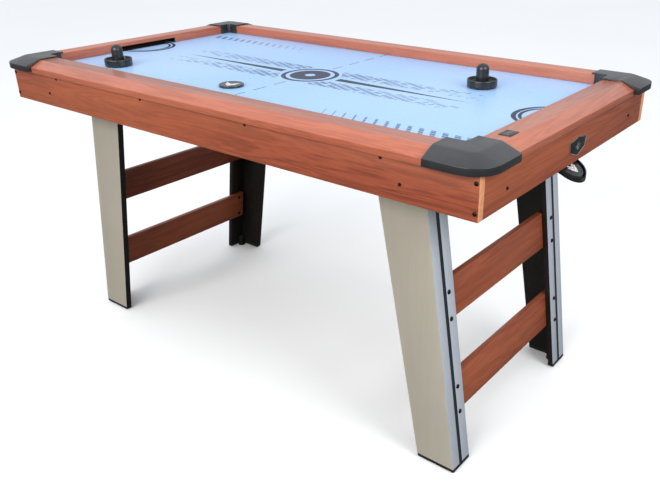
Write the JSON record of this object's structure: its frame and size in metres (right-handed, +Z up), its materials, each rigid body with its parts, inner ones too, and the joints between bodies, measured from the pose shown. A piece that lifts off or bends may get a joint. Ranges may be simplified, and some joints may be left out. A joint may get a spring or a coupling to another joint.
{
  "type": "air hockey table",
  "caption": "Air hockey table with cherry-look cabinet, bevelled rails, dark corner caps, blown glossy field, goal slots with puck cups and splayed silver legs joined by stretchers.",
  "frame": {"origin": "on the floor under the middle of the table", "axes": "+X along the table towards the end with the badge, +Y to the far side, +Z up"},
  "size_m": [1.5784, 0.872, 0.852],
  "materials": {
    "badge": "printed, gloss",
    "cherry_laminate": "cherry laminate, satin",
    "cherry_rail": "cherry laminate, semi-gloss",
    "cap_plastic": "charcoal, fine texture",
    "field_laminate": "gloss laminate, printed, drilled",
    "bare_board": "bare board",
    "leg_laminate": "silver beige laminate, satin",
    "leg_edge_laminate": "silver laminate with a black groove",
    "leg_black": "black",
    "foot_plastic": "black",
    "cup_plastic": "black, moulded",
    "fan_steel": "plain",
    "fan_plastic": "black, moulded",
    "power_plastic": "black",
    "pad_felt": "felt",
    "pusher_plastic": "black, semi-gloss",
    "puck_plastic": "black, smooth"
  },
  "bodies": {
    "table": {"air_chamber_end_left": "bare_board", "air_chamber_end_right": "bare_board", "air_chamber_floor": "bare_board", "apron_back": "cherry_laminate", "apron_badge": "badge", "apron_front": "cherry_laminate", "apron_left": "cherry_laminate", "apron_right": "cherry_laminate", "corner_cap_back_left": "cap_plastic", "corner_cap_back_right": "cap_plastic", "corner_cap_front_left": "cap_plastic", "corner_cap_front_right": "cap_plastic", "fan_grille": "fan_plastic", "fan_housing": "fan_plastic", "fan_motor": "fan_steel", "fan_motor_bracket": "fan_steel", "goal_cup_left": "cup_plastic", "goal_cup_right": "cup_plastic", "leg_beam_left": "bare_board", "leg_beam_right": "bare_board", "leg_block_back_left": "leg_black", "leg_block_back_right": "leg_black", "leg_block_front_left": "leg_black", "leg_block_front_right": "leg_black", "leg_board_back_left": "leg_laminate", "leg_board_back_right": "leg_laminate", "leg_board_front_left": "leg_laminate", "leg_board_front_right": "leg_laminate", "leg_flange_back_left": "leg_edge_laminate", "leg_flange_back_right": "leg_edge_laminate", "leg_flange_front_left": "leg_edge_laminate", "leg_flange_front_right": "leg_edge_laminate", "leg_shoe_back_left": "leg_black", "leg_shoe_back_right": "leg_black", "leg_shoe_front_left": "leg_black", "leg_shoe_front_right": "leg_black", "playfield": "field_laminate", "power_jack": "power_plastic", "power_plate": "power_plastic", "rail_back": "cherry_rail", "rail_front": "cherry_rail", "rail_label": "badge", "rail_left": "cherry_rail", "rail_right": "cherry_rail", "stretcher_lower_left": "cherry_laminate", "stretcher_lower_right": "cherry_laminate", "stretcher_upper_left": "cherry_laminate", "stretcher_upper_right": "cherry_laminate"},
    "pusher_left": {"pusher_left": "pusher_plastic", "pusher_pad_left": "pad_felt"},
    "pusher_right": {"pusher_right": "pusher_plastic", "pusher_pad_right": "pad_felt"},
    "puck": {"puck": "puck_plastic"},
    "cup_puck": {"puck_in_cup": "puck_plastic"},
    "impeller": {"fan_impeller": "fan_plastic"},
    "rocker": {"power_switch": "power_plastic"},
    "foot_front_left": {"leg_foot_front_left": "foot_plastic"},
    "foot_front_right": {"leg_foot_front_right": "foot_plastic"},
    "foot_back_left": {"leg_foot_back_left": "foot_plastic"},
    "foot_back_right": {"leg_foot_back_right": "foot_plastic"}
  },
  "joints": [
    {"name": "pusher_left_slide", "type": "slide", "parent": "table", "child": "pusher_left", "axis": [1, 0, 0], "range_m": [-0.128, 0.365]},
    {"name": "pusher_right_slide", "type": "slide", "parent": "table", "child": "pusher_right", "axis": [1, 0, 0], "range_m": [-0.39, 0.21]},
    {"name": "puck_slide", "type": "slide", "parent": "table", "child": "puck", "axis": [1, 0, 0], "range_m": [-0.365, 0.72]},
    {"name": "cup_puck_slide", "type": "slide", "parent": "table", "child": "cup_puck", "axis": [0.8829, 0, -0.4695], "range_m": [-0.03, 0]},
    {"name": "impeller_spin", "type": "hinge", "parent": "table", "child": "impeller", "pos_m": [0, 0, 0.69], "axis": [0, 0, 1], "continuous": true},
    {"name": "rocker_tilt", "type": "hinge", "parent": "table", "child": "rocker", "pos_m": [-0.575, 0.4118, 0.725], "axis": [0, 0, 1], "range_deg": [-7, 7]},
    {"name": "foot_front_left_turn", "type": "hinge", "parent": "table", "child": "foot_front_left", "pos_m": [-0.652, -0.2755, 0.02], "axis": [0, 0, 1], "continuous": true},
    {"name": "foot_front_right_turn", "type": "hinge", "parent": "table", "child": "foot_front_right", "pos_m": [0.652, -0.2755, 0.02], "axis": [0, 0, 1], "continuous": true},
    {"name": "foot_back_left_turn", "type": "hinge", "parent": "table", "child": "foot_back_left", "pos_m": [-0.652, 0.2755, 0.02], "axis": [0, 0, 1], "continuous": true},
    {"name": "foot_back_right_turn", "type": "hinge", "parent": "table", "child": "foot_back_right", "pos_m": [0.652, 0.2755, 0.02], "axis": [0, 0, 1], "continuous": true}
  ]
}
